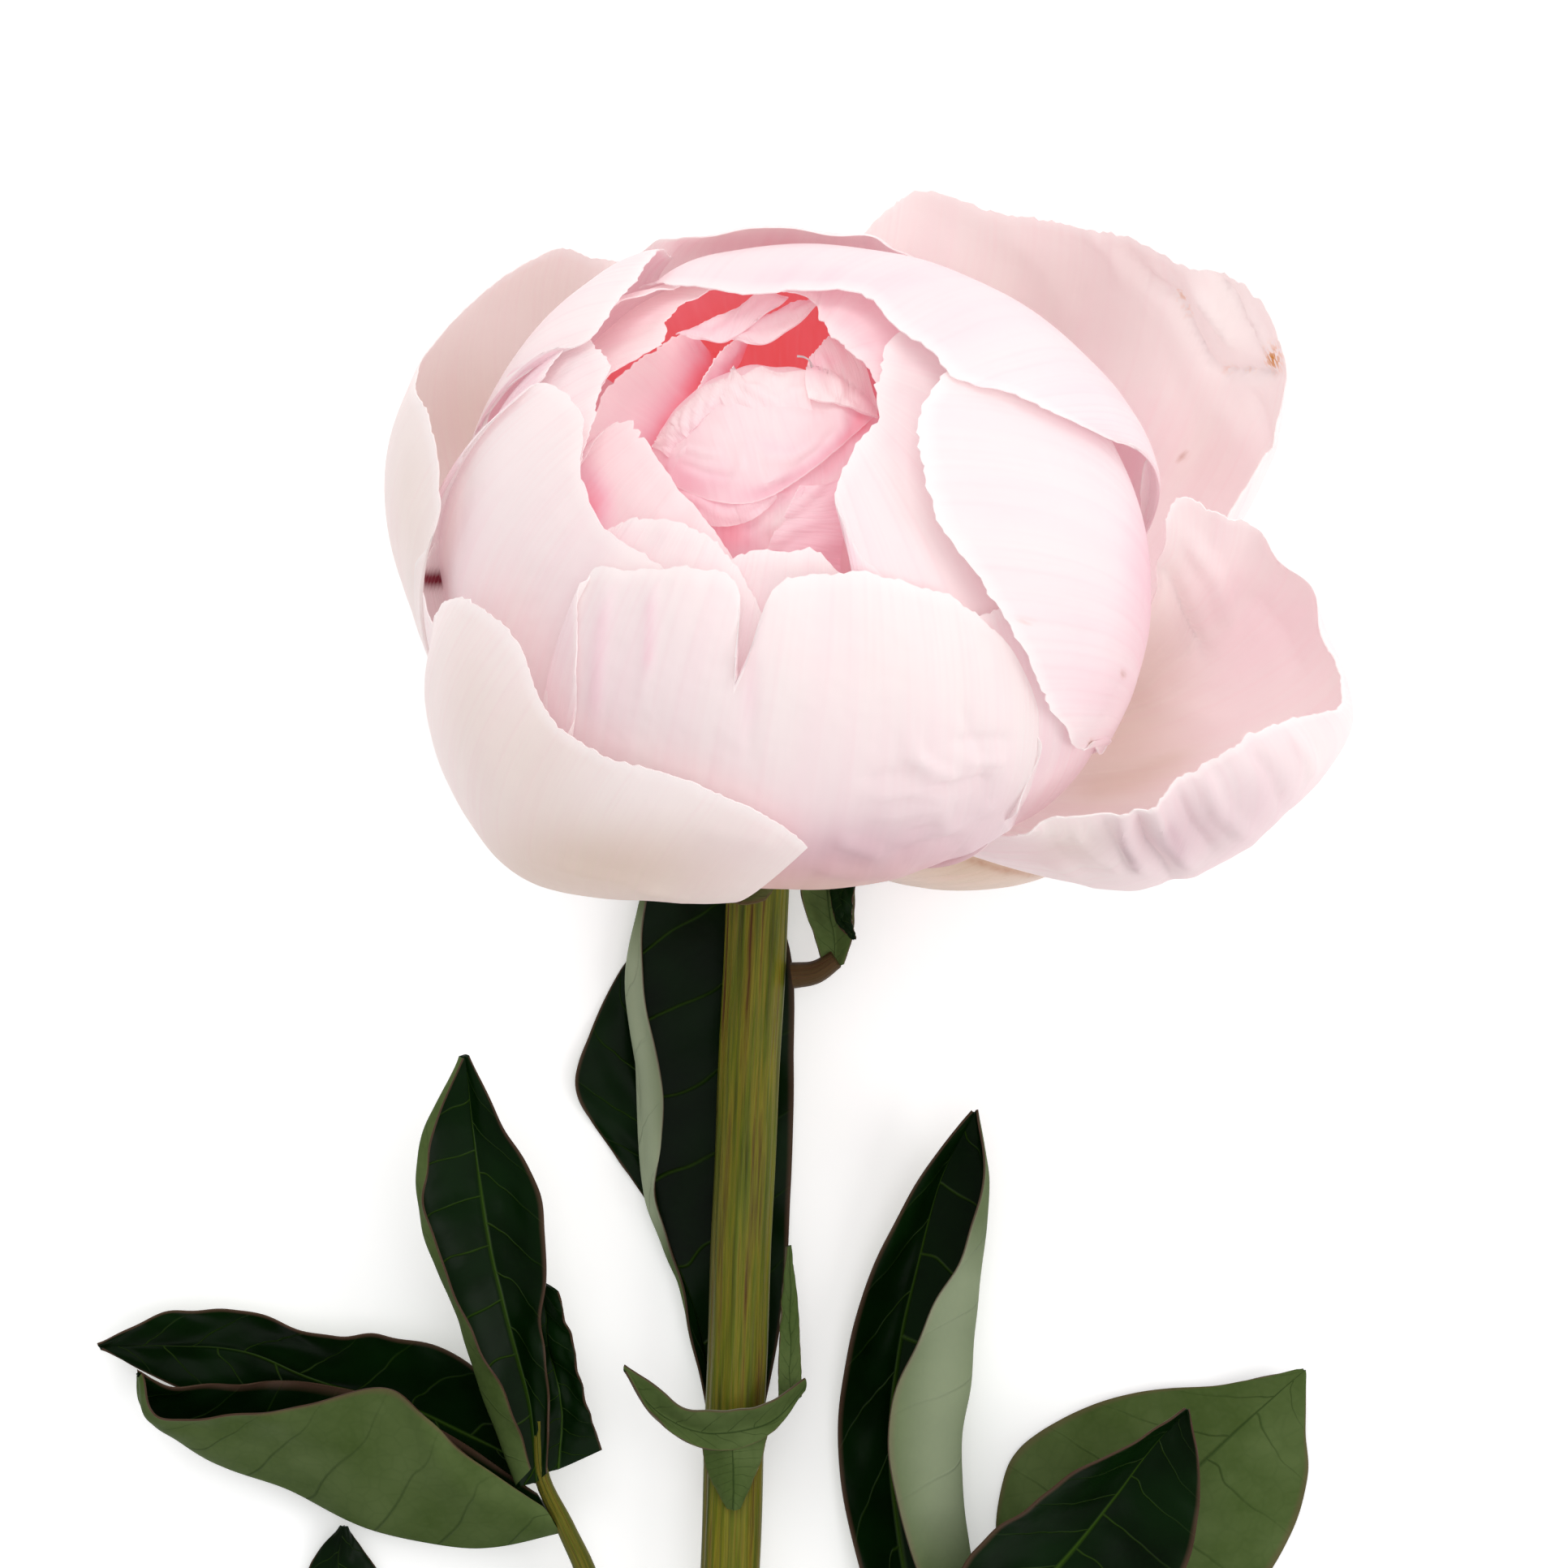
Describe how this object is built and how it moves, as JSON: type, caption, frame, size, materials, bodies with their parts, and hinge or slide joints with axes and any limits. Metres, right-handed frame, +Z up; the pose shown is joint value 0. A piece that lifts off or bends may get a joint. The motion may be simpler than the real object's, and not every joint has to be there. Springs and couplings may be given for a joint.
{
  "type": "cut peony",
  "caption": "Full double peony in pale pink on a short cut stem, half open, laid down with its leaves spread.",
  "frame": {"origin": "the flat spot under the bloom where its back petal rests, on the surface the flower lies on", "axes": "+Z up from the surface, +Y from the cut end of the stem towards the bloom"},
  "size_m": [0.1591, 0.2978, 0.0881],
  "materials": {
    "guard_petals": "matte, very pale pink petal",
    "globe_petals": "matte, pale pink petal",
    "inner_petals": "matte, light pink petal",
    "heart_petals": "matte, pink petal, coral deep inside",
    "stem": "satin, olive green with brown ridges",
    "leaves": "satin, dark green"
  },
  "bodies": {
    "root": {"guard_back": "guard_petals", "guard_left": "guard_petals", "guard_low_left": "guard_petals", "guard_front_left": "guard_petals", "guard_right": "guard_petals", "guard_low_right": "guard_petals", "globe_top": "globe_petals", "globe_front": "globe_petals", "globe_right": "globe_petals", "globe_upper_right": "globe_petals", "globe_upper_left": "globe_petals", "globe_left": "globe_petals", "globe_low_right": "globe_petals", "inner_right": "inner_petals", "inner_front_left": "inner_petals", "inner_front": "inner_petals", "inner_left": "inner_petals", "heart": "heart_petals", "stem": "stem", "leaf_back": "leaves", "leaf_neck": "leaves", "leaf_boat": "leaves", "leaf_left": "leaves", "leaf_right": "leaves"}
  },
  "joints": []
}
